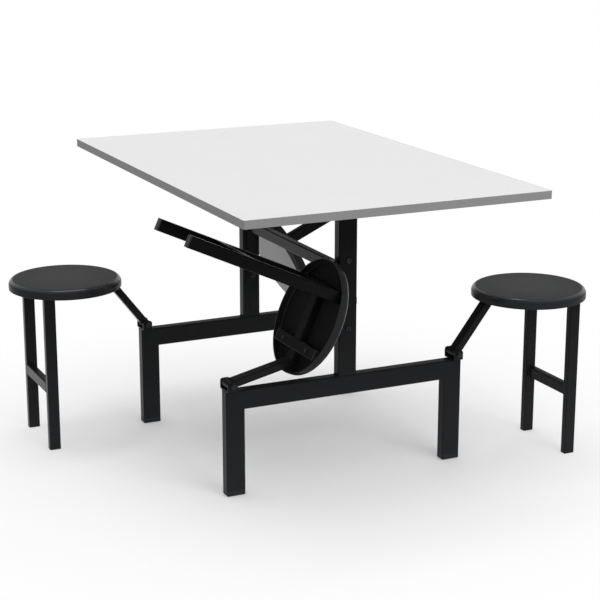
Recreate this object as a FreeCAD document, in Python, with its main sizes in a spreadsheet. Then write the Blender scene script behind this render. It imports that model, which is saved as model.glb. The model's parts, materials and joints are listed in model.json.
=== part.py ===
import FreeCAD, Part
import Sketcher
import math
import operator
import os
from types import SimpleNamespace

# A canteen table with four fold-up stools, in millimetres: X across the end frames, Y along the board, +Z up.
# The far left and near right stools are down, the other two are folded up against the posts.

SIZES = {
    # Board
    "top_width": 800,
    "top_length": 1200,
    "top_thickness": 20,
    "top_corner": 4,
    "band_thickness": 1,
    "table_height": 762,
    # Tube of the end frames
    "tube_width": 50,
    "tube_depth": 30,
    "tube_wall": 1.5,
    "tube_corner": 4,
    # End frames
    "frame_spacing": 604,
    "frame_width": 660,
    "crossbar_drop": 488.5,
    "top_rail_length": 560,
    # Stretcher and its bolted end plates
    "stretcher_width": 20,
    "stretcher_height": 30,
    "stretcher_drop": 209.5,
    "plate_width": 30,
    "plate_thickness": 5,
    "plate_margin": 16,
    "upper_bolt_rise": 16.5,
    "lower_bolt_drop": 156.5,
    # Caps of the frame tubes
    "foot_height": 15,
    "foot_round": 6,
    "foot_plug": 20,
    "plug_clearance": 0.2,
    # Hinges
    "pivot_inset": 14,
    "bracket_width": 50,
    "bracket_depth": 26,
    "bracket_plate": 4,
    "bracket_crown": 10,
    "bracket_round": 7,
    "bracket_bend": 3.5,
    "base_clearance": 0.5,
    "side_clearance": 0.3,
    "running_clearance": 0.08,
    "sleeve_radius": 11.5,
    "fold_gap": 0.4,
    "crossbar_gap": 5,
    # Bolts and nuts
    "bolt_radius": 4,
    "bolt_clearance": 0.25,
    "bolt_tail": 2.5,
    "thread_clearance": 0.05,
    "flange_radius": 9,
    "flange_thickness": 2,
    "hex_width": 13,
    "hex_height": 5.5,
    "hex_chamfer": 0.7,
    "button_radius": 7,
    "button_height": 4.2,
    "socket_width": 5,
    "socket_depth": 2.5,
    # Screws
    "screw_radius": 2.25,
    "screw_clearance": 0.4,
    "screw_head_radius": 4.6,
    "screw_head_height": 2.8,
    "screw_point": 3,
    "recess_span": 5,
    "recess_width": 1.2,
    "recess_depth": 1.5,
    "top_screw_bite": 12,
    "top_screw_inner": 80,
    "top_screw_inset": 30,
    "seat_screw_bite": 13,
    "seat_screw_inset": 24,
    # Stool seats
    "seat_drop": 318.5,
    "seat_reach": 222,
    "seat_diameter": 300,
    "seat_depth": 26,
    "seat_wall": 3.5,
    "seat_skin": 7,
    "seat_round": 14,
    "seat_inner_round": 4,
    "seat_lip": 1.2,
    "boss_radius": 6,
    "boss_clearance": 0.2,
    # Stool frames
    "slim_width": 30,
    "slim_depth": 20,
    "slim_wall": 1.5,
    "slim_corner": 3,
    "arm_stub": 26.25,
    "weld_gap": 0.1,
    "bar_offset": 76,
    "shell_clearance": 0.5,
    "rail_level": 170,
    "cap_flange": 3,
    "cap_plug": 15,
    "cap_round": 1.2,
}

X = FreeCAD.Vector(1, 0, 0)
Y = FreeCAD.Vector(0, 1, 0)
Z = FreeCAD.Vector(0, 0, 1)
NO_TURN = FreeCAD.Rotation()

doc = FreeCAD.newDocument("FoldingStoolTable")
sheet = doc.addObject("Spreadsheet::Sheet", "Sizes")
for row, (alias, number) in enumerate(SIZES.items(), start=1):
    sheet.set(f"A{row}", alias.replace("_", " "))
    sheet.set(f"B{row}", str(number))
    sheet.setAlias(f"B{row}", alias)
doc.recompute()


class Size:
    """A length worked out from the sheet, held both as an expression and as its present value."""

    def __init__(self, text, value):
        self.text = text
        self.value = value

    def __float__(self):
        return float(self.value)

    def __add__(self, other):
        return combined(self, "+", other)

    def __sub__(self, other):
        return combined(self, "-", other)

    def __mul__(self, other):
        return combined(self, "*", other)

    def __truediv__(self, other):
        return combined(self, "/", other)

    def __rmul__(self, other):
        return combined(other, "*", self)

    def __neg__(self):
        return combined(-1, "*", self)


OPERATIONS = {"+": operator.add, "-": operator.sub, "*": operator.mul, "/": operator.truediv}


def as_size(amount):
    """A plain number as a Size, and a Size as itself."""
    return amount if isinstance(amount, Size) else Size(f"{amount}", amount)


def combined(first, sign, second):
    """The Size of two amounts joined by an arithmetic sign."""
    first = as_size(first)
    second = as_size(second)
    return Size(f"({first.text} {sign} {second.text})", OPERATIONS[sign](first.value, second.value))


def sine(angle):
    return Size(f"sin({angle.text})", math.sin(math.radians(angle.value)))


def cosine(angle):
    return Size(f"cos({angle.text})", math.cos(math.radians(angle.value)))


def tangent(angle):
    return Size(f"tan({angle.text})", math.tan(math.radians(angle.value)))


def slope(rise, run):
    return Size(f"atan2({rise.text}; {run.text})", math.degrees(math.atan2(rise.value, run.value)))


def square_root(amount):
    return Size(f"sqrt({amount.text})", math.sqrt(amount.value))


size = SimpleNamespace(**{alias: Size(f"Sizes.{alias}", float(sheet.get(alias))) for alias in SIZES})

# Sizes worked out from the driving ones
board_under = size.table_height - size.top_thickness
post_top = board_under - size.tube_depth
crossbar_top = size.table_height - size.crossbar_drop
stretcher_top = size.table_height - size.stretcher_drop
frame_y = size.frame_spacing / 2
rail_tube = size.top_rail_length - 2 * size.foot_height
upper_bolt = stretcher_top + size.upper_bolt_rise
lower_bolt = stretcher_top - size.lower_bolt_drop
pivot_rise = size.bracket_plate + size.sleeve_radius + size.base_clearance
pivot_x = size.frame_width / 2 - size.pivot_inset
pivot_z = crossbar_top + pivot_rise
cheek_gap = size.bracket_width - 2 * size.bracket_plate
nut_height = size.flange_thickness + size.hex_height

# Stool sizes, measured from the pivot: X outward, Z up
seat_radius = size.seat_diameter / 2
seat_top = size.table_height - size.seat_drop - pivot_z
bar_top = seat_top - size.seat_skin
bar_middle = bar_top - size.slim_depth / 2
front_bar_x = size.seat_reach - size.bar_offset
rear_bar_x = size.seat_reach + size.bar_offset
knee_x = front_bar_x - size.slim_width / 2 - size.arm_stub
arm_angle = slope(bar_middle, knee_x)
floor_radius = seat_radius - size.seat_wall - size.seat_inner_round
frame_edge = size.bar_offset + size.slim_width / 2
half_width = square_root(floor_radius * floor_radius - frame_edge * frame_edge) - size.shell_clearance
leg_y = half_width - size.slim_depth / 2
screw_y = half_width - size.slim_depth - size.seat_screw_inset
boss_length = size.slim_depth - size.slim_wall


def fold_angle():
    """The turn, in degrees, that brings a seat's rounded rim to rest beside the post, or above the crossbar
    where that comes first."""
    rise = float(seat_top - size.seat_round)
    edge = float(seat_radius - size.seat_round)
    outer_reach = float(size.seat_reach) + edge
    inner_reach = float(size.seat_reach) - edge
    post_rest = float(size.tube_width / 2 + size.fold_gap + size.seat_round - pivot_x)
    beside_post = math.acos(post_rest / math.hypot(outer_reach, rise)) - math.atan2(rise, outer_reach)
    bar_rest = float(size.seat_round + size.crossbar_gap - pivot_rise)
    above_bar = math.pi - math.asin(bar_rest / math.hypot(inner_reach, rise)) - math.atan2(rise, inner_reach)
    return math.degrees(min(beside_post, above_bar))


def at(x, y, z, turn=NO_TURN):
    """A placement from sizes or numbers and a rotation."""
    return FreeCAD.Placement(FreeCAD.Vector(float(x), float(y), float(z)), turn)


def turned(x_to, z_to):
    """The rotation that lays a piece's own X and Z axes along the two directions given."""
    return FreeCAD.Rotation(x_to, z_to.cross(x_to), z_to, "ZXY")


def new_body(label):
    body = doc.addObject("PartDesign::Body", label)
    body.Label = label
    return body


def new_sketch(body, role, offset=None):
    """An empty sketch on one of the body's own origin planes, moved along its normal by the offset."""
    sketch = body.newObject("Sketcher::SketchObject", f"{body.Name}_sketch")
    plane = [feature for feature in body.Origin.OriginFeatures if feature.Role == role][0]
    sketch.AttachmentSupport = [(plane, "")]
    sketch.MapMode = "FlatFace"
    if offset is not None:
        sketch.setExpression("AttachmentOffset.Base.z", offset.text)
    return sketch


def bind(sketch, constraint, amount):
    """Adds a dimension to a sketch and ties it to the sheet."""
    index = sketch.addConstraint(constraint)
    sketch.setExpression(f"Constraints[{index}]", amount.text)


def pin(sketch, geometry, point, x, y):
    """Ties one point of a sketch to its coordinates."""
    for kind, axis, amount in (("DistanceX", -2, x), ("DistanceY", -1, y)):
        if float(amount) == 0:
            sketch.addConstraint(Sketcher.Constraint("PointOnObject", geometry, point, axis))
        else:
            bind(sketch, Sketcher.Constraint(kind, geometry, point, float(amount)), amount)


def circle(sketch, x, y, radius):
    centre = FreeCAD.Vector(float(x), float(y), 0)
    index = sketch.addGeometry(Part.Circle(centre, Z, float(radius)))
    bind(sketch, Sketcher.Constraint("Radius", index, float(radius)), radius)
    pin(sketch, index, 3, x, y)


def outline(sketch, corners, arcs=()):
    """A closed outline through the corners. arcs names each round stretch by the corner it starts at:
    its centre, its radius and whether it runs anticlockwise."""
    arcs = dict(arcs)
    points = [FreeCAD.Vector(float(x), float(y), 0) for x, y in corners]
    first = sketch.GeometryCount
    for index, start in enumerate(points):
        end = points[(index + 1) % len(points)]
        if index in arcs:
            (x, y), radius, anticlockwise = arcs[index]
            centre = FreeCAD.Vector(float(x), float(y), 0)
            low, high = (start, end) if anticlockwise else (end, start)
            angles = [math.atan2(point.y - centre.y, point.x - centre.x) for point in (low, high)]
            sketch.addGeometry(Part.ArcOfCircle(Part.Circle(centre, Z, float(radius)), *angles))
        else:
            sketch.addGeometry(Part.LineSegment(start, end))

    def ends(index):
        clockwise = index in arcs and not arcs[index][2]
        return (2, 1) if clockwise else (1, 2)

    for index in range(len(points)):
        following = (index + 1) % len(points)
        joint = (first + index, ends(index)[1], first + following, ends(following)[0])
        sketch.addConstraint(Sketcher.Constraint("Coincident", *joint))
    for index, (x, y) in enumerate(corners):
        pin(sketch, first + index, ends(index)[0], x, y)
    for index, (centre, radius, anticlockwise) in arcs.items():
        bind(sketch, Sketcher.Constraint("Radius", first + index, float(radius)), radius)


def rounded_rectangle(sketch, width, height, corner):
    """A rectangle about the sketch's origin with four equal round corners."""
    x = width / 2
    y = height / 2
    inner_x = x - corner
    inner_y = y - corner
    corners = [(-inner_x, -y), (inner_x, -y), (x, -inner_y), (x, inner_y)]
    corners += [(inner_x, y), (-inner_x, y), (-x, inner_y), (-x, -inner_y)]
    centres = {1: (inner_x, -inner_y), 3: (inner_x, inner_y), 5: (-inner_x, inner_y), 7: (-inner_x, -inner_y)}
    outline(sketch, corners, {start: (centre, corner, True) for start, centre in centres.items()})


def hexagon(sketch, across):
    flat = across / 2
    point = across * (1 / math.sqrt(3))
    half = point / 2
    outline(sketch, [(flat, -half), (flat, half), (as_size(0), point), (-flat, half), (-flat, -half),
                     (as_size(0), -point)])


def cross_outline(sketch, reach, half):
    """A plus sign about the sketch's origin."""
    corners = [(half, -reach), (half, -half), (reach, -half), (reach, half), (half, half), (half, reach)]
    outline(sketch, corners + [(-x, -y) for x, y in corners])


def pad(body, sketch, length, symmetric=False, reverse=False):
    feature = body.newObject("PartDesign::Pad", f"{body.Name}_pad")
    feature.Profile = sketch
    feature.setExpression("Length", length.text)
    feature.SideType = "Symmetric" if symmetric else "One side"
    feature.Reversed = reverse
    return feature


def pocket(body, sketch, depth=None, symmetric=False, reverse=False):
    """A cut to a depth, or right through both ways where no depth is given."""
    feature = body.newObject("PartDesign::Pocket", f"{body.Name}_pocket")
    feature.Profile = sketch
    feature.Reversed = reverse
    if depth is None:
        feature.SideType = "Symmetric"
        feature.Type = "ThroughAll"
    else:
        feature.SideType = "Symmetric" if symmetric else "One side"
        feature.setExpression("Length", depth.text)
    return feature


def revolve(body, sketch):
    feature = body.newObject("PartDesign::Revolution", f"{body.Name}_turned")
    feature.Profile = sketch
    feature.ReferenceAxis = (sketch, ["V_Axis"])
    feature.Angle = 360
    return feature


def soften(body, feature, kind, radius, chosen):
    """Fillets or chamfers the edges of a feature that the chosen test picks by their two end points."""
    doc.recompute()
    names = []
    for index, edge in enumerate(feature.Shape.Edges, start=1):
        if chosen([edge.valueAt(edge.FirstParameter), edge.valueAt(edge.LastParameter)]):
            names.append(f"Edge{index}")
    dressing = body.newObject(f"PartDesign::{kind}", f"{body.Name}_{kind.lower()}")
    dressing.Base = (feature, names)
    dressing.setExpression("Radius" if kind == "Fillet" else "Size", radius.text)
    return dressing


def near(value, target):
    return abs(value - float(target)) < 0.001


def drill(body, role, radius, places):
    """Holes right through a body, across one of its origin planes."""
    sketch = new_sketch(body, role)
    for x, y in places:
        circle(sketch, x, y, radius)
    pocket(body, sketch)


nodes = []


def place(piece, placement):
    """Puts a sub-part in its place and lists it for export."""
    piece.Placement = placement
    nodes.append(piece)


def group(label, pattern, placements):
    """One node of separate copies of a piece."""
    links = []
    for number, placement in enumerate(placements, start=1):
        link = doc.addObject("App::Link", f"{label}_{number}")
        link.LinkedObject = pattern
        link.Placement = placement
        links.append(link)
    compound = doc.addObject("Part::Compound", label)
    compound.Label = label
    compound.Links = links
    nodes.append(compound)


def tube(label, width, depth, length, wall, corner):
    """A hollow rectangular tube along its own Z from the origin, with round corners."""
    body = new_body(label)
    sketch = new_sketch(body, "XY_Plane")
    rounded_rectangle(sketch, width, depth, corner)
    rounded_rectangle(sketch, width - 2 * wall, depth - 2 * wall, corner - wall)
    pad(body, sketch, length)
    return body


def frame_tube(label, length):
    return tube(label, size.tube_width, size.tube_depth, length, size.tube_wall, size.tube_corner)


def slim_tube(label, width, depth, length):
    return tube(label, width, depth, length, size.slim_wall, size.slim_corner)


def mitre(body, corners):
    """Cuts a tube's end at a slant, by an outline in its own XZ plane."""
    sketch = new_sketch(body, "XZ_Plane")
    outline(sketch, corners)
    pocket(body, sketch)


def round_sole(body, role, across, thickness, rounding):
    """Rounds off the two lower edges of a cap that run across one of its upright planes."""
    sketch = new_sketch(body, role)
    for side in (-1, 1):
        edge = side * (across / 2)
        inset = side * (across / 2 - rounding)
        corners = [(inset, -thickness), (edge, -thickness), (edge, rounding - thickness)]
        outline(sketch, corners, {2: ((inset, rounding - thickness), rounding, side < 0)})
    pocket(body, sketch)


def make_cap(label, width, depth, corner, wall, thickness, plug, rounding):
    """A plastic tube end: a plug along +Z inside the tube and a round-edged cap along -Z outside it."""
    body = new_body(label)
    sketch = new_sketch(body, "XY_Plane")
    rounded_rectangle(sketch, width, depth, corner)
    pad(body, sketch, thickness, reverse=True)
    round_sole(body, "XZ_Plane", width, thickness, rounding)
    round_sole(body, "YZ_Plane", depth, thickness, rounding)
    inner = new_sketch(body, "XY_Plane")
    shrink = 2 * (wall + size.plug_clearance)
    rounded_rectangle(inner, width - shrink, depth - shrink, corner - wall)
    pad(body, inner, plug)
    return body


def make_screw(label, length):
    """A pan-head screw along +Z, its head below the origin."""
    body = new_body(label)
    sketch = new_sketch(body, "XZ_Plane")
    none = as_size(0)
    shank = size.screw_radius
    point = length - size.screw_point
    shoulder = size.screw_head_radius - size.screw_head_height / 2
    corners = [(none, -size.screw_head_height), (shoulder, -size.screw_head_height)]
    corners += [(size.screw_head_radius, -size.screw_head_height / 2), (size.screw_head_radius, none)]
    corners += [(shank, none), (shank, point), (none, length)]
    arc_centre = (shoulder, -size.screw_head_height / 2)
    outline(sketch, corners, {1: (arc_centre, size.screw_head_height / 2, True)})
    revolve(body, sketch)
    recess = new_sketch(body, "XY_Plane", -size.screw_head_height)
    cross_outline(recess, size.recess_span / 2, size.recess_width / 2)
    pocket(body, recess, size.recess_depth, reverse=True)
    return body


def make_flange_head(body, along):
    """A flange and a hexagon on it, from the origin along +Z (1) or -Z (-1)."""
    reverse = along < 0
    flange = new_sketch(body, "XY_Plane")
    circle(flange, as_size(0), as_size(0), size.flange_radius)
    pad(body, flange, size.flange_thickness, reverse=reverse)
    sketch = new_sketch(body, "XY_Plane", along * size.flange_thickness)
    hexagon(sketch, size.hex_width)
    head = pad(body, sketch, size.hex_height, reverse=reverse)
    face = along * float(nut_height)
    return soften(body, head, "Chamfer", size.hex_chamfer, lambda ends: all(near(p.z, face) for p in ends))


def make_pivot_bolt():
    """A flange bolt along +Z from under its head."""
    body = new_body("pivot_bolt")
    make_flange_head(body, -1)
    sketch = new_sketch(body, "XY_Plane")
    circle(sketch, as_size(0), as_size(0), size.bolt_radius)
    pad(body, sketch, size.bracket_width + nut_height + size.bolt_tail)
    return body


def make_nut():
    """A flange nut along +Z from its seat."""
    body = new_body("flange_nut")
    make_flange_head(body, 1)
    drill(body, "XY_Plane", size.bolt_radius + size.thread_clearance, [(as_size(0), as_size(0))])
    return body


def make_post_bolt():
    """A round-head socket bolt along +Z from under its head."""
    body = new_body("post_bolt")
    sketch = new_sketch(body, "XZ_Plane")
    none = as_size(0)
    length = size.tube_depth + size.plate_thickness + nut_height + size.bolt_tail
    rim = size.button_radius - size.button_height / 2
    corners = [(none, -size.button_height), (rim, -size.button_height)]
    corners += [(size.button_radius, -size.button_height / 2), (size.button_radius, none)]
    corners += [(size.bolt_radius, none), (size.bolt_radius, length), (none, length)]
    outline(sketch, corners, {1: ((rim, -size.button_height / 2), size.button_height / 2, True)})
    revolve(body, sketch)
    socket = new_sketch(body, "XY_Plane", -size.button_height)
    hexagon(socket, size.socket_width)
    pocket(body, socket, size.socket_depth, reverse=True)
    return body


def make_board():
    """The board between its edge bands, with pilot holes for the rail screws."""
    board = new_body("tabletop")
    sketch = new_sketch(board, "XY_Plane")
    width = size.top_width - 2 * size.band_thickness
    length = size.top_length - 2 * size.band_thickness
    corner = size.top_corner - size.band_thickness
    rounded_rectangle(sketch, width, length, corner)
    pad(board, sketch, size.top_thickness)
    pilots = new_sketch(board, "XY_Plane")
    for x, y in screw_places():
        circle(pilots, x, y, size.screw_radius + size.thread_clearance)
    pocket(board, pilots, size.top_screw_bite + size.thread_clearance, reverse=True)
    place(board, at(0, 0, board_under))
    band = new_body("edge_band")
    ring = new_sketch(band, "XY_Plane")
    rounded_rectangle(ring, size.top_width, size.top_length, size.top_corner)
    rounded_rectangle(ring, width, length, corner)
    pad(band, ring, size.top_thickness)
    place(band, at(0, 0, board_under))


def rail_screw_offsets():
    outer = rail_tube / 2 - size.top_screw_inset
    return [-outer, -size.top_screw_inner, size.top_screw_inner, outer]


def screw_places():
    """Where the rail screws enter the board, seen from above."""
    return [(x, y) for y in (-frame_y, frame_y) for x in rail_screw_offsets()]


def make_end_frame(end, side_y):
    """One end frame: two legs, a crossbar, a post and a top rail."""
    half = size.tube_width / 2
    leg_length = crossbar_top - size.foot_height
    for side, side_x in (("left", -1), ("right", 1)):
        leg = frame_tube(f"{end}_{side}_leg", leg_length)
        mitre(leg, [(-half, leg_length - size.tube_width), (half, leg_length), (-half, leg_length)])
        outward = turned(side_x * X, Z)
        place(leg, at(side_x * (size.frame_width / 2 - half), side_y, size.foot_height, outward))
    crossbar = frame_tube(f"{end}_crossbar", size.frame_width)
    far_end = size.frame_width
    mitre(crossbar, [(half, as_size(0)), (-half, as_size(0)), (-half, size.tube_width)])
    mitre(crossbar, [(half, far_end), (-half, far_end - size.tube_width), (-half, far_end)])
    place(crossbar, at(-size.frame_width / 2, side_y, crossbar_top - half, turned(Z, X)))
    post = frame_tube(f"{end}_post", post_top - crossbar_top)
    bolt_hole = size.bolt_radius + size.bolt_clearance
    levels = [upper_bolt - crossbar_top, lower_bolt - crossbar_top]
    drill(post, "XZ_Plane", bolt_hole, [(as_size(0), level) for level in levels])
    place(post, at(0, side_y, crossbar_top))
    rail = frame_tube(f"{end}_top_rail", rail_tube)
    screw_hole = size.screw_radius + size.screw_clearance
    places = [(as_size(0), rail_tube / 2 + offset) for offset in rail_screw_offsets()]
    drill(rail, "XZ_Plane", screw_hole, places)
    place(rail, at(-rail_tube / 2, side_y, board_under - size.tube_depth / 2, turned(Y, X)))


def make_stretcher():
    """The long tube between the posts and its two end plates."""
    length = size.frame_spacing - size.tube_depth - 2 * size.plate_thickness
    width = size.stretcher_width
    stretcher = slim_tube("stretcher", width, size.stretcher_height, length)
    place(stretcher, at(0, -length / 2, stretcher_top - size.stretcher_height / 2, turned(X, Y)))
    plate = new_body("stretcher_plate")
    sketch = new_sketch(plate, "XZ_Plane")
    foot = lower_bolt - size.plate_margin
    head = upper_bolt + size.plate_margin
    side = size.plate_width / 2
    outline(sketch, [(-side, foot), (side, foot), (side, head), (-side, head)])
    for level in (lower_bolt, upper_bolt):
        circle(sketch, as_size(0), level, size.bolt_radius + size.bolt_clearance)
    pad(plate, sketch, size.plate_thickness, symmetric=True)
    plate_y = length / 2 + size.plate_thickness / 2
    group("stretcher_plates", plate, [at(0, -plate_y, 0), at(0, plate_y, 0)])


def make_bracket():
    """A U bracket about its pivot, open at the top."""
    body = new_body("hinge_bracket")
    sketch = new_sketch(body, "YZ_Plane")
    outer = size.bracket_width / 2
    inner = cheek_gap / 2
    under = -pivot_rise
    base = size.bracket_plate - pivot_rise
    crown = size.bracket_crown
    outline(sketch, [(-outer, under), (outer, under), (outer, crown), (inner, crown), (inner, base),
                     (-inner, base), (-inner, crown), (-outer, crown)])
    channel = pad(body, sketch, size.bracket_depth, symmetric=True)
    top = float(crown)
    low = float(under)
    ears = soften(body, channel, "Fillet", size.bracket_round,
                  lambda ends: all(near(p.z, top) for p in ends) and near(ends[0].x, ends[1].x))
    soften(body, ears, "Fillet", size.bracket_bend,
           lambda ends: all(near(p.z, low) for p in ends) and near(ends[0].y, ends[1].y))
    drill(body, "XZ_Plane", size.bolt_radius + size.running_clearance, [(as_size(0), as_size(0))])
    return body


def make_hinges_and_bolts():
    """The brackets and bolts of the four hinges, the post bolts, and the nuts on all of them."""
    pivots = [(x, y) for y in (-frame_y, frame_y) for x in (-pivot_x, pivot_x)]
    side = size.bracket_width / 2
    along_y = turned(X, Y)
    against_y = turned(X, -Y)
    group("hinge_brackets", make_bracket(), [at(x, y, pivot_z) for x, y in pivots])
    group("pivot_bolts", make_pivot_bolt(), [at(x, y - side, pivot_z, along_y) for x, y in pivots])
    outer_y = frame_y + size.tube_depth / 2
    inner_y = frame_y - size.tube_depth / 2 - size.plate_thickness
    levels = [lower_bolt, upper_bolt]
    bolts = [at(0, -outer_y, level, along_y) for level in levels]
    bolts += [at(0, outer_y, level, against_y) for level in levels]
    group("post_bolts", make_post_bolt(), bolts)
    nuts = [at(x, y + side, pivot_z, along_y) for x, y in pivots]
    nuts += [at(0, -inner_y, level, along_y) for level in levels]
    nuts += [at(0, inner_y, level, against_y) for level in levels]
    group("flange_nuts", make_nut(), nuts)


def make_screws_and_caps():
    """The screws into the board, and the caps on the frame's feet and top rails."""
    screw = make_screw("top_screw", size.tube_depth + size.top_screw_bite)
    group("top_screws", screw, [at(x, y, post_top) for x, y in screw_places()])
    cap = make_cap("end_cap", size.tube_width, size.tube_depth, size.tube_corner, size.tube_wall,
                   size.foot_height, size.foot_plug, size.foot_round)
    leg_x = size.frame_width / 2 - size.tube_width / 2
    rail_x = rail_tube / 2
    rail_z = board_under - size.tube_depth / 2
    places = []
    for y in (-frame_y, frame_y):
        places += [at(-leg_x, y, size.foot_height), at(leg_x, y, size.foot_height)]
        places += [at(-rail_x, y, rail_z, turned(Y, X)), at(rail_x, y, rail_z, turned(Y, -X))]
    group("end_caps", cap, places)


def make_seat(label):
    """A round plastic shell about its own top centre, with four screw bosses under its skin."""
    body = new_body(label)
    sketch = new_sketch(body, "XZ_Plane")
    none = as_size(0)
    edge = seat_radius - size.seat_round
    wall = seat_radius - size.seat_wall
    corners = [(none, -size.seat_skin), (floor_radius, -size.seat_skin)]
    corners += [(wall, -size.seat_skin - size.seat_inner_round), (wall, -size.seat_depth)]
    corners += [(seat_radius - size.seat_lip, -size.seat_depth), (seat_radius, size.seat_lip - size.seat_depth)]
    corners += [(seat_radius, -size.seat_round), (edge, none), (none, none)]
    arcs = {
        1: ((floor_radius, -size.seat_skin - size.seat_inner_round), size.seat_inner_round, False),
        4: ((seat_radius - size.seat_lip, size.seat_lip - size.seat_depth), size.seat_lip, True),
        6: ((edge, -size.seat_round), size.seat_round, True),
    }
    outline(sketch, corners, arcs)
    revolve(body, sketch)
    bosses = new_sketch(body, "XY_Plane", -size.seat_skin)
    for x, y in boss_places():
        circle(bosses, x, y, size.boss_radius)
        circle(bosses, x, y, size.screw_radius + size.thread_clearance)
    pad(body, bosses, boss_length, reverse=True)
    return body


def boss_places():
    """Where the seat's screws stand, measured from the seat's centre."""
    return [(x, y) for x in (-size.bar_offset, size.bar_offset) for y in (-screw_y, screw_y)]


def arm_outline(sketch, half, end):
    """The arm's bent outline about its middle line, from the pivot to the front bar."""
    across = half * sine(arm_angle)
    up = half * cosine(arm_angle)
    bend = half * tangent(arm_angle / 2)
    outline(sketch, [(across, -up), (knee_x + bend, bar_middle - half), (end, bar_middle - half),
                     (end, bar_middle + half), (knee_x - bend, bar_middle + half), (-across, up)])


def make_arm(label):
    """A bent tube laid flat, coped around the pivot sleeve at its lower end."""
    body = new_body(label)
    half = size.slim_depth / 2
    end = knee_x + size.arm_stub
    outer = new_sketch(body, "XZ_Plane")
    arm_outline(outer, half, end)
    bar = pad(body, outer, size.slim_width, symmetric=True)
    start = float(half)
    finish = float(end)

    def along(ends):
        lengthwise = near(ends[0].y, ends[1].y)
        at_pivot = all(near(math.hypot(p.x, p.z), start) for p in ends)
        at_bar = all(near(p.x, finish) for p in ends)
        return lengthwise and not at_pivot and not at_bar

    soften(body, bar, "Fillet", size.slim_corner, along)
    inner = new_sketch(body, "XZ_Plane")
    arm_outline(inner, half - size.slim_wall, end + size.slim_wall)
    pocket(body, inner, size.slim_width - 2 * size.slim_wall, symmetric=True)
    cope = new_sketch(body, "XZ_Plane")
    circle(cope, as_size(0), as_size(0), size.sleeve_radius + size.weld_gap)
    pocket(body, cope)
    return body


def make_sleeve(label):
    """The steel sleeve that turns on the pivot bolt between the bracket's cheeks."""
    body = new_body(label)
    sketch = new_sketch(body, "XZ_Plane")
    circle(sketch, as_size(0), as_size(0), size.sleeve_radius)
    circle(sketch, as_size(0), as_size(0), size.bolt_radius + size.running_clearance)
    pad(body, sketch, cheek_gap - 2 * size.side_clearance, symmetric=True)
    return body


def make_bar(label, length):
    """A cross tube under the seat, with screw holes below and wider boss holes above."""
    bar = slim_tube(label, size.slim_width, size.slim_depth, length)
    places = [(as_size(0), length / 2 - screw_y), (as_size(0), length / 2 + screw_y)]
    drill(bar, "XZ_Plane", size.screw_radius + size.screw_clearance, places)
    upper = new_sketch(bar, "XZ_Plane")
    for x, z in places:
        circle(upper, x, z, size.boss_radius + size.boss_clearance)
    pocket(bar, upper, size.slim_depth / 2, reverse=True)
    return bar


def make_stool(name, side_x, side_y, folded, leg, cap, screw):
    """One stool: its pieces in the lowered pose about the pivot, then turned into the pose it rests in."""
    facing = FreeCAD.Rotation(Z, 0 if side_x > 0 else 180)
    lift = FreeCAD.Rotation(Y, -fold_angle() if folded else 0)
    hinge = at(side_x * pivot_x, side_y, pivot_z, facing) * at(0, 0, 0, lift)
    across = turned(X, Y)
    seat_x = size.seat_reach
    ground = -pivot_z
    front_length = 2 * (half_width - size.cap_flange)
    rear_length = 2 * leg_y - size.slim_depth
    place(make_seat(f"{name}_seat"), hinge * at(seat_x, 0, seat_top))
    place(make_arm(f"{name}_arm"), hinge)
    place(make_sleeve(f"{name}_pivot_sleeve"), hinge)
    front_bar = make_bar(f"{name}_front_bar", front_length)
    place(front_bar, hinge * at(front_bar_x, -front_length / 2, bar_middle, across))
    rear_bar = make_bar(f"{name}_rear_bar", rear_length)
    place(rear_bar, hinge * at(rear_bar_x, -rear_length / 2, bar_middle, across))
    spine_start = front_bar_x + size.slim_width / 2
    spine = slim_tube(f"{name}_spine", size.slim_width, size.slim_depth, 2 * size.bar_offset - size.slim_width)
    place(spine, hinge * at(spine_start, 0, bar_middle, turned(Y, X)))
    rail = slim_tube(f"{name}_foot_rail", size.slim_depth, size.slim_width, rear_length)
    rail_x = rear_bar_x + size.slim_width / 2 - size.slim_depth / 2
    place(rail, hinge * at(rail_x, -rear_length / 2, ground + size.rail_level, across))
    leg_foot = ground + size.cap_flange
    group(f"{name}_stool_legs", leg, [hinge * at(rear_bar_x, y, leg_foot) for y in (-leg_y, leg_y)])
    caps = [hinge * at(rear_bar_x, y, leg_foot) for y in (-leg_y, leg_y)]
    caps += [hinge * at(front_bar_x, -front_length / 2, bar_middle, across)]
    caps += [hinge * at(front_bar_x, front_length / 2, bar_middle, turned(X, -Y))]
    group(f"{name}_tube_caps", cap, caps)
    bar_under = bar_top - size.slim_depth
    screws = [hinge * at(seat_x + x, y, bar_under) for x, y in boss_places()]
    group(f"{name}_seat_screws", screw, screws)


make_board()
make_end_frame("near", -frame_y)
make_end_frame("far", frame_y)
make_stretcher()
make_hinges_and_bolts()
make_screws_and_caps()

stool_leg = slim_tube("stool_leg", size.slim_width, size.slim_depth, bar_top + pivot_z - size.cap_flange)
tube_cap = make_cap("tube_cap", size.slim_width, size.slim_depth, size.slim_corner, size.slim_wall,
                    size.cap_flange, size.cap_plug, size.cap_round)
seat_screw = make_screw("seat_screw", size.slim_wall + size.seat_screw_bite)
STOOLS = {
    "near_left": (-1, -frame_y, True),
    "near_right": (1, -frame_y, False),
    "far_left": (-1, frame_y, False),
    "far_right": (1, frame_y, True),
}
for stool, (side, middle, up) in STOOLS.items():
    make_stool(stool, side, middle, up, stool_leg, tube_cap, seat_screw)

doc.recompute()
for item in doc.Objects:
    if "Invalid" in item.State or "Error" in item.State:
        raise RuntimeError(f"{item.Label} did not compute: {item.State}")
for node in nodes:
    if node.Shape.isNull() or not node.Shape.isValid():
        raise RuntimeError(f"{node.Label} has no valid shape")

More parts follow.
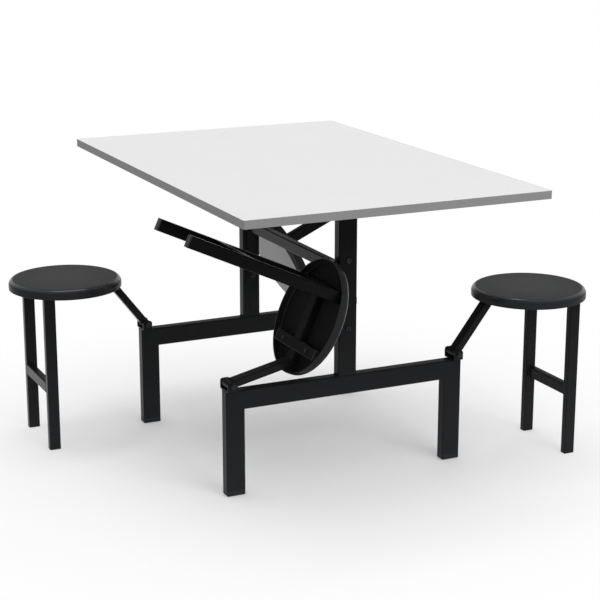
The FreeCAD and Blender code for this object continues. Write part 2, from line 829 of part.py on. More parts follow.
os.makedirs("parts", exist_ok=True)
for node in nodes:
    node.Shape.exportStep(f"parts/{node.Label}.step")
print(f"{len(nodes)} nodes, pivot at x {float(pivot_x):.2f} z {float(pivot_z):.2f}, fold {fold_angle():.3f} degrees")
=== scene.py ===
# %% [markdown]
# A canteen table with four fold-up stools. The tubes, hinges, seats and board come from the CAD frame at their
# real size, so this lesson leaves their shapes alone and gives them what CAD does not hold: the finish of each
# surface, the weld beads that join the tubes, and plain studio light.

# %% Load the frame
import json
import math

import bpy
from mathutils import Matrix, Vector


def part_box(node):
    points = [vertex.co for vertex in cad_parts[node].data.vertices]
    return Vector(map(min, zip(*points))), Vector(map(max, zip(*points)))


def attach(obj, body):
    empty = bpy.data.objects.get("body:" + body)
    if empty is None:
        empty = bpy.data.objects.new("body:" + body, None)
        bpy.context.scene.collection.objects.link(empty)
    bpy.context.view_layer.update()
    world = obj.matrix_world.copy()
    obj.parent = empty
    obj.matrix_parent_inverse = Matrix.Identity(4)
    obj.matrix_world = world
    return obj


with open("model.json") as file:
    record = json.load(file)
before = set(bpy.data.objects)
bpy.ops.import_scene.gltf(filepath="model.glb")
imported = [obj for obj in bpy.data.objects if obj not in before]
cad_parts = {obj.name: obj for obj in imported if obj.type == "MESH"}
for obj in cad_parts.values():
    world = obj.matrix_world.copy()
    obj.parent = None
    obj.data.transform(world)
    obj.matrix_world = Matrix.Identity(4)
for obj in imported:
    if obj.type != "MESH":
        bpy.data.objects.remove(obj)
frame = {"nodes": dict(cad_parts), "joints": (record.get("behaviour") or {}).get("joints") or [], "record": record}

nodes = frame["nodes"]
joints = {joint["child"]: joint for joint in frame["joints"]}
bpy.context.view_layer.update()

# %% [markdown]
# The camera stands where the photograph was taken from. It could be placed by eye, but then the part and the
# photograph never quite overlay each other, so its place and its lens were solved from the board's corners and
# the feet. The lens is long, which keeps upright lines nearly parallel: the legs hardly lean.

# %% Camera
CAMERA_PLACE = Vector((-1.7561, -3.7899, 1.5166))
CAMERA_AIM = Vector((0.0325, 0.0344, 0.3794))
FOCAL_PIXELS = 1624.7
IMAGE_PIXELS = 600
FARTHEST_SEEN = 100


def turned_to(place, aim):
    """The turn of a camera or lamp that stands at a place and looks at its aim."""
    return (aim - place).to_track_quat("-Z", "Y").to_euler()


camera_data = bpy.data.cameras.new("photo_camera")
camera = bpy.data.objects.new("photo_camera", camera_data)
bpy.context.scene.collection.objects.link(camera)
camera_data.lens = camera_data.sensor_width * FOCAL_PIXELS / IMAGE_PIXELS
camera_data.clip_end = FARTHEST_SEEN
camera.location = CAMERA_PLACE
camera.rotation_euler = turned_to(CAMERA_PLACE, CAMERA_AIM)
bpy.context.scene.camera = camera
print("lens", round(camera_data.lens, 2), "mm")

# %% [markdown]
# The four stools are one stool in four places. Each could be measured on its own, but the tubes of a folded
# stool lie slanted, and their boxes say little. The near right stool is down, so its sizes are read straight off
# its boxes, measured from its hinge. A matrix then carries a point of that stool to any other: turned round for
# the left side, lifted by the hinge's full range where a stool rests folded, and moved to its own hinge.

# %% Places of the stools
STOOLS = ("near_left", "near_right", "far_left", "far_right")
MODEL_STOOL = "near_right"
TALLEST_LEVEL_SEAT = 0.1
model_pivot = Vector(joints[f"{MODEL_STOOL}_stool"]["pos_m"])


def own_box(piece):
    """A piece's box on the model stool, measured from its pivot."""
    low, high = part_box(f"{MODEL_STOOL}_{piece}")
    return low - model_pivot, high - model_pivot


def is_folded(stool):
    """A folded seat stands on edge, so its box is tall."""
    low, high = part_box(f"{stool}_seat")
    return high.z - low.z > TALLEST_LEVEL_SEAT


def stool_placing(stool):
    """The matrix from the model stool, measured at its pivot, to another stool in the pose it rests in."""
    joint = joints[f"{stool}_stool"]
    facing = Matrix.Rotation(0 if joint["pos_m"][0] > 0 else math.pi, 4, "Z")
    lift = Matrix.Rotation(-math.radians(joint["range_deg"][1]) if is_folded(stool) else 0, 4, "Y")
    return Matrix.Translation(Vector(joint["pos_m"])) @ facing @ lift


print("folded at rest:", [stool for stool in STOOLS if is_folded(stool)])

# %% [markdown]
# Shader maths could be drawn by linking Math nodes one at a time, but it reads best as plain expressions. A Wire
# is one output of a node, and adding or multiplying two of them adds the Math node that does it. The reflected
# forms, such as __rsub__, are there so that 1 - mask works too.


# %% Wires
class Wire:
    """One output of a node, with the arithmetic that shader maths needs."""

    def __init__(self, sheet, socket):
        self.sheet = sheet
        self.socket = socket

    def other(self, output):
        """Another output of the same node."""
        return Wire(self.sheet, self.socket.node.outputs[output])

    def __add__(self, other):
        return self.sheet.math("ADD", self, other)

    def __radd__(self, other):
        return self.sheet.math("ADD", other, self)

    def __sub__(self, other):
        return self.sheet.math("SUBTRACT", self, other)

    def __rsub__(self, other):
        return self.sheet.math("SUBTRACT", other, self)

    def __mul__(self, other):
        return self.sheet.math("MULTIPLY", self, other)

    def __rmul__(self, other):
        return self.sheet.math("MULTIPLY", other, self)


print("wires add, subtract and multiply")

# %% [markdown]
# A Sheet is a node tree being drawn, with its shader and its output in place. Each node could be made and linked
# by a few lines of its own, but one method for all of them is shorter and makes no slips: it sets a node's
# options first, because they can change its sockets, and then fills or links the sockets.


# %% Sheets
class Sheet:
    """A node tree under construction, with its shader and its output."""

    def __init__(self, owner, shader, output):
        owner.use_nodes = True
        self.tree = owner.node_tree
        self.tree.nodes.clear()
        self.shader = self.tree.nodes.new(shader)
        self.tree.links.new(self.shader.outputs[0], self.tree.nodes.new(output).inputs["Surface"])

    def fill(self, node, values):
        """Sets or links the sockets of a node by name or number."""
        for key, value in values.items():
            if isinstance(value, Wire):
                self.tree.links.new(value.socket, node.inputs[key])
            else:
                node.inputs[key].default_value = value

    def node(self, kind, settings=None, values=None, output=0):
        """Adds a node, sets its options, fills its sockets and returns one of its outputs."""
        node = self.tree.nodes.new(kind)
        for key, value in (settings or {}).items():
            setattr(node, key, value)
        self.fill(node, values or {})
        return Wire(self, node.outputs[output])

    def math(self, operation, first, second=0.0):
        return self.node("ShaderNodeMath", {"operation": operation}, {0: first, 1: second})

    def vector_math(self, operation, first, second=(0, 0, 0), output="Vector"):
        return self.node("ShaderNodeVectorMath", {"operation": operation}, {0: first, 1: second}, output)

    def seen(self):
        """1 for what the camera sees directly, in a reflection or through glass, and 0 for light on its way."""
        camera_ray = self.node("ShaderNodeLightPath", output="Is Camera Ray")
        seen = camera_ray + camera_ray.other("Is Glossy Ray") + camera_ray.other("Is Transmission Ray")
        return self.math("MINIMUM", seen, 1.0)


print("sheets ready")

# %% [markdown]
# A Finish is the sheet of a material, with what finishes are mixed from: soft noise for anything uneven, smooth
# steps that mark where something starts and ends, and a bump that turns a pattern into relief. Patterns could
# follow a UV map, but the CAD pieces have none, so they lie in the object's own metres, and the grain has one
# size on every piece.


# %% Finishes
class Finish(Sheet):
    """The sheet of a material, with patterns and masks in metres."""

    def __init__(self, name, shader="ShaderNodeBsdfPrincipled"):
        self.material = bpy.data.materials.new(name)
        super().__init__(self.material, shader, "ShaderNodeOutputMaterial")

    def set(self, **values):
        """Fills the main shader's sockets, with underscores for the spaces in their names."""
        self.fill(self.shader, {key.replace("_", " "): value for key, value in values.items()})
        return self.material

    def place(self):
        """Where a point lies on the object, in metres."""
        return self.node("ShaderNodeTexCoord", output="Object")

    def part_of(self, vector, axis):
        """One of a vector's three numbers."""
        return self.node("ShaderNodeSeparateXYZ", {}, {0: vector}, output=axis)

    def facing_up(self):
        """1 on a face that looks straight up, 0 on an upright face and -1 on one that looks down."""
        return self.part_of(self.node("ShaderNodeNewGeometry", output="Normal"), "Z")

    def noise(self, scale, detail=2.0, roughness=0.5):
        """Soft random patches, about one over the scale in metres across."""
        return self.node("ShaderNodeTexNoise", {"noise_dimensions": "3D"},
                         {"Vector": self.place(), "Scale": scale, "Detail": detail, "Roughness": roughness})

    def pits(self, place, scale):
        """Small round pits, as a spark-eroded mould leaves in plastic."""
        return self.node("ShaderNodeTexVoronoi", {"feature": "SMOOTH_F1"},
                         {"Vector": place, "Scale": scale, "Smoothness": 0.4})

    def blend(self, factor, first, second):
        """A colour between two colours."""
        return self.node("ShaderNodeMix", {"data_type": "RGBA"}, {0: factor, 6: first, 7: second}, output=2)

    def band(self, value, low, high):
        """0 below low, 1 above high and a smooth step between."""
        return self.node("ShaderNodeMapRange", {"interpolation_type": "SMOOTHSTEP", "clamp": True},
                         {"Value": value, "From Min": low, "From Max": high})

    def bump(self, height, distance, strength):
        """A surface normal raised by a height of up to the distance, in metres."""
        return self.node("ShaderNodeBump", {}, {"Height": height, "Distance": distance, "Strength": strength})


def grey(level):
    return (level, level, level, 1.0)


def cool(level):
    """A grey with a breath of blue, as black plastic and paint have in white light."""
    return (0.96 * level, level, 1.08 * level, 1.0)


print("finishes ready, cool black is", [round(part, 4) for part in cool(0.02)])

# %% [markdown]
# The board is chipboard under white melamine laminate. One plain white would do from far off, but close up the
# press plate leaves a fine pearl texture that breaks up reflections. Two noises do that: a fine one in the bump
# and the roughness, and a broad faint one in the colour, so that the board is not one dead white.

# %% Board laminate
LAMINATE_SHADE = (0.774, 0.770, 0.783, 1)
LAMINATE_WHITE = (0.816, 0.812, 0.824, 1)


def make_laminate():
    finish = Finish("white_laminate")
    pearl = finish.noise(scale=900, detail=3)
    patches = finish.noise(scale=5)
    colour = finish.blend(0.6 * patches + 0.4 * pearl, LAMINATE_SHADE, LAMINATE_WHITE)
    relief = finish.bump(pearl, distance=0.0003, strength=0.25)
    return finish.set(Base_Color=colour, Roughness=0.34 + 0.14 * pearl, Normal=relief, Specular_IOR_Level=0.35)


laminate = make_laminate()
print("made", laminate.name)

# %% [markdown]
# The board's edge is closed by a grey plastic strip, 1 mm thick, ironed on and trimmed. It is duller than the
# laminate and has a fine grain. The strip starts and ends in one butt joint, which sits out of the way on the far
# side. The joint could be cut into the mesh, but it is only a hairline, so the material draws it there.

# %% Edge strip
STRIP_DARK, STRIP_PALE = grey(0.184), grey(0.236)
JOINT_DARK = grey(0.05)
JOINT_X = 0.140
JOINT_HALF = 0.0003
JOINT_DEPTH = 0.002
far_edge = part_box("edge_band")[1].y


def make_edge_strip():
    finish = Finish("grey_edge_strip")
    place = finish.place()
    away = finish.math("ABSOLUTE", finish.part_of(place, "X") - JOINT_X)
    on_far_side = finish.band(finish.part_of(place, "Y"), far_edge - JOINT_DEPTH, far_edge)
    joint = (1 - finish.band(away, JOINT_HALF, 2 * JOINT_HALF)) * on_far_side
    grain = finish.noise(scale=700, detail=3)
    colour = finish.blend(joint, finish.blend(grain, STRIP_DARK, STRIP_PALE), JOINT_DARK)
    relief = finish.bump(grain, distance=0.0002, strength=0.3)
    return finish.set(Base_Color=colour, Roughness=0.42 + 0.16 * grain, Normal=relief, Specular_IOR_Level=0.12)


edge_strip = make_edge_strip()
print("made", edge_strip.name)

# %% [markdown]
# All the steel is powder coated in satin black. Powder melts and levels as it bakes, which leaves an orange-peel
# skin of waves a few millimetres across, so they go into the bump, with a slow change of roughness from hands and
# wiping on top. One even gloss could serve, but on the real table upright faces mirror the white floor while dust
# dulls the faces that look up. So the paint itself hardly mirrors, and a thin clear coat that does lies only on
# faces that do not look up. The colour holds painted light and shade by height. It is darkest high up, as painted
# shade where the board hangs over the tubes. It lightens towards the feet, as painted light that the floor throws
# back.

# %% Powder-coated steel
# Two tones of painted light and shade: the darker one stands for the board's shade high up, and the lighter one
# for floor light near the feet.
PAINT_IN_BOARD_SHADE, PAINT_FLOOR_LIT = cool(0.0014), cool(0.0176)
PAINTED_SHADE_TOP = 0.62
PAINTED_SHADE_SWAY = 0.10
DUST_STARTS, DUST_FULL = 0.15, 0.40


def make_powder_coat():
    finish = Finish("black_powder_coat")
    waves = finish.noise(scale=420)
    fine = finish.noise(scale=2400)
    handled = finish.noise(scale=9, detail=3)
    # Painted light and shade by height: the colour is darkest high up under the board and lightest at the floor,
    # and a random wobble moves the boundary.
    height = finish.part_of(finish.place(), "Z") + PAINTED_SHADE_SWAY * (handled - 0.5)
    painted_light_and_shade = finish.node("ShaderNodeMapRange", {"clamp": True},
                       {"Value": height, "From Min": PAINTED_SHADE_TOP, "From Max": 0.0})
    dust = finish.band(finish.facing_up(), DUST_STARTS, DUST_FULL)
    relief = finish.bump(0.7 * waves + 0.3 * fine, distance=0.0004, strength=0.08)
    return finish.set(Base_Color=finish.blend(painted_light_and_shade, PAINT_IN_BOARD_SHADE, PAINT_FLOOR_LIT), Specular_IOR_Level=0.010,
                      Roughness=0.22 + 0.08 * handled + 0.04 * fine, Normal=relief,
                      Coat_Weight=1 - dust, Coat_Roughness=0.24, Coat_IOR=1.132)


steel = make_powder_coat()
print("made", steel.name)

# %% [markdown]
# A seat wears in zones: the rim, its round shoulder and the middle that is sat on. The hollow underside is a zone
# too, and its darker colour is painted shade. The zones could be picked face by face, but masks blend into each
# other as wear does. A Mapping node first brings a point into the seat's own frame, where its distance from the
# middle and its depth below the top tell the zones apart. The underside's mask stops short of the rim's inner
# wall, which has the rim's own finish.

# %% Zones of a seat
RIM_ROUND = 0.014
RIM_BLEND = 0.005
UNDER_DEPTH = 0.0065
UNDER_INSET = 0.0060
UNDER_BLEND = 0.0005
SHOULDER_STARTS = (0.0003, 0.0012)
SHOULDER_ENDS = (0.0035, 0.0090)
SAT_ON_ENDS = (0.05, 0.12)
seat_low, seat_high = own_box("seat")
seat_radius = (seat_high.y - seat_low.y) / 2
seat_middle = Vector(((seat_low.x + seat_high.x) / 2, (seat_low.y + seat_high.y) / 2, seat_high.z))
under_radius = seat_radius - UNDER_INSET
rim_radius = seat_radius - RIM_ROUND


def seat_spot(finish, stool):
    """Where a point lies in the seat's own frame, from the middle of its top."""
    placing = stool_placing(stool) @ Matrix.Translation(seat_middle)
    return finish.node("ShaderNodeMapping", {"vector_type": "TEXTURE"},
                       {"Vector": finish.place(), "Location": placing.translation,
                        "Rotation": placing.to_euler()})


def seat_zones(finish, spot):
    """The masks of the underside, the rim, its shoulder and the middle that is sat on."""
    depth = 0 - finish.part_of(spot, "Z")
    reach = finish.vector_math("LENGTH", finish.vector_math("MULTIPLY", spot, (1, 1, 0)), output="Value")
    outside = finish.band(reach, under_radius, under_radius + UNDER_BLEND)
    under = finish.band(depth, UNDER_DEPTH - UNDER_BLEND, UNDER_DEPTH) * (1 - outside)
    rim = finish.band(reach, rim_radius, rim_radius + RIM_BLEND) * (1 - under)
    shoulder = finish.band(depth, *SHOULDER_STARTS) * (1 - finish.band(depth, *SHOULDER_ENDS)) * rim
    sat_on = (1 - finish.band(reach, *SAT_ON_ENDS)) * (1 - under)
    return under, rim, shoulder, sat_on


print("seat radius", round(seat_radius, 4), "m, underside within", round(under_radius, 4), "m")

# %% [markdown]
# The seats are injection moulded in black polypropylene. The mould is spark-eroded, so the skin has a fine even
# grain of round pits, which a Voronoi texture gives. Clothes rub the round shoulder of the rim to a shine, and
# dust dulls what faces up, so a clean shine is left on the top of a folded seat, which looks down. The four seats
# could share one material if they all lay alike, but two stand folded, so each has its own.

# %% Seat plastic
SEAT_DARK, SEAT_PALE = cool(0.0155), cool(0.0200)
# The rim's darker black is painted shade, so that the rim's upright side renders darker than the top.
RIM_SHADED_BLACK = cool(0.0150)
# The underside's darker colour is painted shade in the hollow under the seat.
UNDER_PAINTED_SHADE = grey(0.008)
CLEAN_ENDS = (-0.30, -0.05)


def make_seat_plastic(stool):
    finish = Finish(f"{stool}_seat_plastic")
    spot = seat_spot(finish, stool)
    under, rim, shoulder, sat_on = seat_zones(finish, spot)
    clean = (1 - finish.band(finish.facing_up(), *CLEAN_ENDS)) * (1 - rim) * (1 - under)
    flow = finish.noise(scale=14, detail=4, roughness=0.6)
    top = finish.blend(rim, finish.blend(flow, SEAT_DARK, SEAT_PALE), RIM_SHADED_BLACK)
    pits = finish.pits(spot, scale=1300) * (1 - 0.8 * rim)
    return finish.set(Base_Color=finish.blend(under, top, UNDER_PAINTED_SHADE), Specular_IOR_Level=0.018,
                      Roughness=0.36 + 0.06 * flow - 0.03 * sat_on - 0.10 * rim + 0.25 * under,
                      Coat_Weight=0.12 * rim + 0.50 * shoulder + 0.75 * clean, Coat_Roughness=0.16,
                      Normal=finish.bump(pits, distance=0.0003, strength=0.20))


seat_plastics = {stool: make_seat_plastic(stool) for stool in STOOLS}
print("made", [plastic.name for plastic in seat_plastics.values()])

# %% [markdown]
# The plugs in the tube ends are moulded in the same kind of black plastic, with a plain, slightly pitted skin.
# The seats' finish could be used again, but plugs have no rim or underside worth telling apart, so one simple
# material serves them all.

# %% Plug plastic
PLUG_DARK, PLUG_PALE = cool(0.0205), cool(0.0265)


def make_plug_plastic():
    finish = Finish("black_plug_plastic")
    flow = finish.noise(scale=20, detail=4, roughness=0.6)
    relief = finish.bump(finish.pits(finish.place(), scale=1700), distance=0.0003, strength=0.25)
    return finish.set(Base_Color=finish.blend(flow, PLUG_DARK, PLUG_PALE), Roughness=0.40 + 0.08 * flow,
                      Normal=relief, Specular_IOR_Level=0.08)


plug_plastic = make_plug_plastic()
print("made", plug_plastic.name)

# %% [markdown]
# Bolts, nuts and screws are blackened steel: a thin oxide over metal, nearly as dark as the paint around them.
# Plain dark metal would look cast in one piece with the tubes. The oxide is uneven, so a noise lets a little more
# of the metal through in places.

# %% Blackened fasteners
OXIDE_DARK, OXIDE_PALE = cool(0.012), cool(0.034)


def make_blackened():
    finish = Finish("blackened_fastener")
    oxide = finish.noise(scale=260, detail=4, roughness=0.6)
    relief = finish.bump(oxide, distance=0.0002, strength=0.2)
    return finish.set(Base_Color=finish.blend(oxide, OXIDE_DARK, OXIDE_PALE), Metallic=0.45 + 0.3 * oxide,
                      Roughness=0.26 + 0.20 * oxide, Normal=relief, Specular_IOR_Level=0.12)


fastener = make_blackened()
print("made", fastener.name)

# %% [markdown]
# Every CAD node carries the name of a material slot in the record. The nodes could be dressed one by one, but one
# table from slot to finish dresses them all, and the four seats take their own plastic.

# %% Put the finishes on the CAD nodes
FINISH_OF_SLOT = {
    "white_laminate": laminate,
    "grey_edge": edge_strip,
    "black_steel": steel,
    "sleeve_steel": steel,
    "cap_plastic": plug_plastic,
    "black_fastener": fastener,
}
for subpart in frame["record"]["subparts"]:
    name = subpart["node"]
    own_plastic = seat_plastics.get(name.removesuffix("_seat"))
    for material_slot in nodes[name].material_slots:
        material_slot.material = own_plastic or FINISH_OF_SLOT[subpart["material_slot"]]
print("finished", len(nodes), "nodes")

# %% [markdown]
# Welded tubes meet in a bead of melted wire: a quarter round with ripples, left by the torch moving on in small
# steps. A bump in the paint could hint at it, but a bead fills the corner and catches light there, so it is
# modelled. It lies along X: a cylinder is cut down to a quarter by two bisects, and the edges that run along it
# are divided into rings.

# %% Cut a quarter round
BEAD_LEG = 0.0028
BEAD_SIDES = 16
RIPPLE = 0.0018
FEWEST_CUTS = 3
NEARLY_WHOLE = 0.9


def deselect():
    bpy.ops.object.select_all(action="DESELECT")


def quarter_round(length):
    """A quarter of a cylinder along X, in the corner between the +Y and +Z directions."""
    deselect()
    bpy.ops.mesh.primitive_cylinder_add(vertices=BEAD_SIDES, radius=BEAD_LEG, depth=length,
                                        rotation=(0, math.pi / 2, 0))
    bpy.ops.object.transform_apply(location=False, rotation=True, scale=False)
    bpy.ops.object.mode_set(mode="EDIT")
    for normal in ((0, 1, 0), (0, 0, 1)):
        bpy.ops.mesh.select_all(action="SELECT")
        bpy.ops.mesh.bisect(plane_co=(0, 0, 0), plane_no=normal, clear_inner=True, use_fill=True)
    bpy.ops.mesh.select_all(action="DESELECT")
    bpy.ops.mesh.select_mode(type="EDGE")
    bpy.ops.object.mode_set(mode="OBJECT")
    return bpy.context.object


def divide_along(bead, length):
    """Divides the edges that run along the bead, about once for each ripple."""
    for edge in bead.data.edges:
        first, second = (bead.data.vertices[index].co for index in edge.vertices)
        edge.select = abs(first.x - second.x) > length * NEARLY_WHOLE
    bpy.ops.object.mode_set(mode="EDIT")
    bpy.ops.mesh.subdivide(number_cuts=max(FEWEST_CUTS, round(length / RIPPLE)))
    bpy.ops.mesh.select_mode(type="VERT")
    bpy.ops.mesh.select_all(action="DESELECT")
    bpy.ops.object.mode_set(mode="OBJECT")


print("beads", round(BEAD_LEG * 1000, 1), "mm high, a ring every", round(RIPPLE * 1000, 1), "mm")

# %% [markdown]
# The ripples come from the rings: every second one is shrunk a little, and the two ends more, where the wire ran
# out. The rings could be moved point by point, but a resize of what is selected does a whole set at once.

# %% Shrink its rings
RING_SHRINK = 0.84
END_SHRINK = 0.55
SMOOTH_BELOW = math.radians(50)


def ring_of(vertex):
    return round(vertex.co.x, 6)


def shrink_rings(bead, chosen, factor):
    """Shrinks the chosen rings towards the bead's corner line."""
    for vertex in bead.data.vertices:
        vertex.select = ring_of(vertex) in chosen
    bpy.ops.object.mode_set(mode="EDIT")
    bpy.ops.transform.resize(value=(1, factor, factor), center_override=(0, 0, 0))
    bpy.ops.mesh.select_all(action="DESELECT")
    bpy.ops.object.mode_set(mode="OBJECT")


def model_bead(length):
    """A rippled quarter round along X, in the corner between the +Y and +Z directions."""
    bead = quarter_round(length)
    divide_along(bead, length)
    rings = sorted({ring_of(vertex) for vertex in bead.data.vertices})
    shrink_rings(bead, set(rings[1:-1:2]), RING_SHRINK)
    shrink_rings(bead, {rings[0], rings[-1]}, END_SHRINK)
    bpy.ops.object.shade_smooth_by_angle(angle=SMOOTH_BELOW)
    return bead


print("rings shrink to", RING_SHRINK, "and ends to", END_SHRINK)

# %% [markdown]
# A bead is laid by naming the corner line's two ends and the two faces that meet there. It could be turned into
# place by angles, but the directions that the faces look in are the bead's own Y and Z axes, so one small matrix
# does it. Beads of one length are copies of one model, and each stops a little short of the ends. The beads of a
# body are joined into one piece and ride on that body.

# %% Lay beads
X, Y, Z = Vector((1, 0, 0)), Vector((0, 1, 0)), Vector((0, 0, 1))
END_GAP = 0.004
UNMOVED = Matrix.Identity(4)
beads_by_length = {}


def lay_bead(start, end, first_face, second_face, placing=UNMOVED):
    """A bead from start to end, in the corner of two faces that are given by the directions they look in."""
    length = round((end - start).length - 2 * END_GAP, 4)
    if length not in beads_by_length:
        beads_by_length[length] = model_bead(length)
        beads_by_length[length].name = f"bead_{len(beads_by_length)}"
    bead = bpy.data.objects.new("bead", beads_by_length[length].data.copy())
    bpy.context.scene.collection.objects.link(bead)
    along = first_face.cross(second_face)
    turn = Matrix((along, first_face, second_face)).transposed().to_4x4()
    bead.matrix_world = placing @ Matrix.Translation((start + end) / 2) @ turn
    return bead


def join_beads(beads, name, body):
    """Joins beads into one weld piece that rides on a body."""
    deselect()
    for bead in beads:
        bead.select_set(True)
    bpy.context.view_layer.objects.active = beads[0]
    bpy.ops.object.join()
    welds = bpy.context.object
    bpy.ops.object.transform_apply(location=True, rotation=True, scale=True)
    welds.name = name
    welds.data.name = name
    welds.data.materials.clear()
    welds.data.materials.append(steel)
    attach(welds, body)
    return welds


print("beads stop", round(END_GAP * 1000, 1), "mm short of each end")

# %% [markdown]
# On the table frame the posts are welded to the crossbars and top rails, the stretcher to its end plates, and the
# hinge brackets to the crossbars. The places could be typed in, but the boxes of the CAD nodes give every corner
# line, so the beads follow the tubes if their sizes change.

# %% Welds of the table frame
ENDS = ("near", "far")


def post_beads():
    """Beads at the foot and the head of the posts."""
    beads = []
    for end in ENDS:
        low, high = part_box(f"{end}_post")
        for side, x in ((-X, low.x), (X, high.x)):
            for upright, z in ((Z, low.z), (-Z, high.z)):
                beads.append(lay_bead(Vector((x, low.y, z)), Vector((x, high.y, z)), side, upright))
        for side, y in ((-Y, low.y), (Y, high.y)):
            beads.append(lay_bead(Vector((low.x, y, high.z)), Vector((high.x, y, high.z)), side, -Z))
    return beads


def stretcher_beads():
    """Beads round both ends of the stretcher."""
    beads = []
    low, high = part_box("stretcher")
    for inward, y in ((Y, low.y), (-Y, high.y)):
        for side, x in ((-X, low.x), (X, high.x)):
            beads.append(lay_bead(Vector((x, y, low.z)), Vector((x, y, high.z)), side, inward))
        for side, z in ((-Z, low.z), (Z, high.z)):
            beads.append(lay_bead(Vector((low.x, y, z)), Vector((high.x, y, z)), side, inward))
    return beads


def bracket_beads():
    """Beads under the hinge brackets, along the sides of the crossbars."""
    beads = []
    low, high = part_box("hinge_brackets")
    width = 2 * (high.x - abs(model_pivot.x))
    for end in ENDS:
        bar_low, bar_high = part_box(f"{end}_crossbar")
        for side, y in ((-Y, bar_low.y), (Y, bar_high.y)):
            for left, right in ((low.x, low.x + width), (high.x - width, high.x)):
                beads.append(lay_bead(Vector((left, y, bar_high.z)), Vector((right, y, bar_high.z)), side, -Z))
    return beads


welds = join_beads(post_beads() + stretcher_beads() + bracket_beads(), "frame_welds", "frame")
print(welds.name, len(welds.data.vertices), "vertices")

# %% [markdown]
# A stool's arm is a flat tube that slopes up from the round pivot sleeve, so its welds follow no box. Its slope
# could be copied from the CAD source, but it can be worked out: the arm's inmost corner lies on the sleeve's
# circle, and the arm's box says how far along X that is. The arm is as wide and as thick as the spine.

# %% Welds at the pivot sleeves
sleeve_radius = own_box("pivot_sleeve")[1].z
spine_low, spine_high = own_box("spine")
arm_half_width, arm_half_thick = (spine_high - spine_low).yz / 2
arm_start = math.sqrt(sleeve_radius ** 2 - arm_half_thick ** 2)
corner_angle = math.acos(own_box("arm")[0].x / sleeve_radius)
arm_slope = corner_angle - math.atan2(arm_half_thick, arm_start)


def sleeve_beads(placing):
    """Beads across the arm's upper and lower sides, where it meets the sleeve."""
    along = Vector((math.cos(arm_slope), 0, math.sin(arm_slope)))
    across = Vector((-along.z, 0, along.x))
    half = Y * arm_half_width
    beads = []
    for side in (-across, across):
        middle = along * arm_start + side * arm_half_thick
        beads.append(lay_bead(middle - half, middle + half, side, along, placing))
    return beads


print("arm slope", round(math.degrees(arm_slope), 1), "degrees")

# %% [markdown]
# On the rest of a stool the spine is welded between the seat bars, the legs under the rear bar, and the foot rail
# between the legs. Beads could be laid on each stool in turn, but they are worked out once, on the model stool,
# and laid through each stool's placing. The bare models of the beads are then removed.


# %% Welds of the stools
def seat_frame_beads(placing):
    """Beads beside the spine, where it meets the two seat bars."""
    beads = []
    front_low, front_high = own_box("front_bar")
    rear_face = own_box("rear_bar")[0].x
    for side, y in ((-Y, spine_low.y), (Y, spine_high.y)):
        for face, x in ((-X, front_low.x), (X, front_high.x), (-X, rear_face)):
            foot, head = Vector((x, y, spine_low.z)), Vector((x, y, spine_high.z))
            beads.append(lay_bead(foot, head, side, face, placing))
    return beads


def leg_beads(placing):
    """Beads under the rear bar and round the foot rail, on the inner sides of the legs."""
    beads = []
    rear_low, rear_high = own_box("rear_bar")
    low, high = own_box("foot_rail")
    for inward, y in ((Y, rear_low.y), (-Y, rear_high.y)):
        under = (Vector((rear_low.x, y, rear_low.z)), Vector((rear_high.x, y, rear_low.z)))
        beads.append(lay_bead(*under, -Z, inward, placing))
        for side, z in ((-Z, low.z), (Z, high.z)):
            beads.append(lay_bead(Vector((low.x, y, z)), Vector((high.x, y, z)), side, inward, placing))
        beads.append(lay_bead(Vector((low.x, y, low.z)), Vector((low.x, y, high.z)), -X, inward, placing))
    return beads


for stool in STOOLS:
    placing = stool_placing(stool)
    beads = seat_frame_beads(placing) + leg_beads(placing) + sleeve_beads(placing)
    welds = join_beads(beads, f"{stool}_welds", f"{stool}_stool")
    print(welds.name, len(welds.data.vertices), "vertices")
for model in beads_by_length.values():
    bpy.data.objects.remove(model)

# %% [markdown]
# The studio is a pale floor that turns into a white background. A curved backdrop could hide the horizon, but the
# floor's own material does it with less: the camera and reflections see it grow whiter outwards, and plain white
# from about 1.4 m, while closer in it is a pale surface that keeps the object's soft shadow.

# %% Floor
FLOOR_HALF = 14.0
FLOOR_PALE = grey(0.97)
WHITE = grey(1.0)
WHITE_FROM = 1.37


def make_floor_finish():
    finish = Finish("pale_floor", "ShaderNodeMixShader")
    plain = finish.node("ShaderNodeBsdfDiffuse", {}, {"Color": FLOOR_PALE})
    white = finish.node("ShaderNodeEmission", {}, {"Color": WHITE, "Strength": 1.0})
    fade = finish.band(finish.vector_math("LENGTH", finish.place(), output="Value"), 0.0, WHITE_FROM)
    finish.fill(finish.shader, {0: fade * finish.seen(), 1: plain, 2: white})
    return finish.material


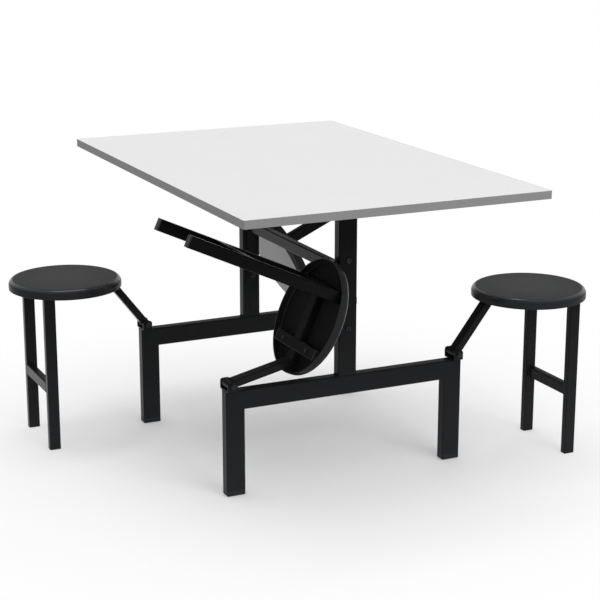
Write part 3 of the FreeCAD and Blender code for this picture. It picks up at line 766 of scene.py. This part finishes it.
deselect()
bpy.ops.mesh.primitive_plane_add(size=2 * FLOOR_HALF, location=(0, 0, 0))
floor = bpy.context.object
floor.name = "pale_floor"
floor.data.materials.append(make_floor_finish())
print("floor", round(2 * FLOOR_HALF, 1), "m across")

# %% [markdown]
# The light comes from all round, as in a white tent. A tent could be built as walls round the object, but the
# world does the same with no mesh. What is seen of it is plain white, while the light that it throws on the
# object is set a little lower, so colours come out about as they are written.

# %% World
LIGHT_FROM_ALL_ROUND = 0.675

world = bpy.data.worlds.new("white_studio")
bpy.context.scene.world = world
tent = Sheet(world, "ShaderNodeBackground", "ShaderNodeOutputWorld")
tent.fill(tent.shader, {"Color": WHITE,
                        "Strength": LIGHT_FROM_ALL_ROUND + (1 - LIGHT_FROM_ALL_ROUND) * tent.seen()})
print("world light", LIGHT_FROM_ALL_ROUND)

# %% [markdown]
# Light from all round is even, and even light is dull. Two soft flat lamps shape the object a little: one in
# front, which lifts the near faces, and one overhead, which draws a soft line along the seats' round rims. Small
# lamps could do it too, but would throw hard shadows. The front lamp is kept out of reflections, because the
# board would show it as a white glare from behind.

# %% Lamps
LAMP_AIM = Vector((0, 0, 0.5))


def soft_lamp(name, place, width, height, watts):
    """A flat lamp that faces the middle of the table."""
    lamp = bpy.data.lights.new(name, "AREA")
    lamp.shape = "RECTANGLE"
    lamp.size = width
    lamp.size_y = height
    lamp.energy = watts
    holder = bpy.data.objects.new(name, lamp)
    bpy.context.scene.collection.objects.link(holder)
    holder.location = place
    holder.rotation_euler = turned_to(Vector(place), LAMP_AIM)
    return holder


front_lamp = soft_lamp("front_lamp", (1.2, -4.5, 2.0), width=3.0, height=2.4, watts=80)
front_lamp.visible_glossy = False
top_lamp = soft_lamp("top_lamp", (-0.3, 0.9, 5.0), width=3.2, height=0.8, watts=46)
print("lamps", front_lamp.data.energy, "and", top_lamp.data.energy, "W")

# %% [markdown]
# Blender's usual view softens bright colours. The Standard view shows them as they are, so it is chosen here.

# %% Colour
bpy.context.scene.view_settings.view_transform = "Standard"
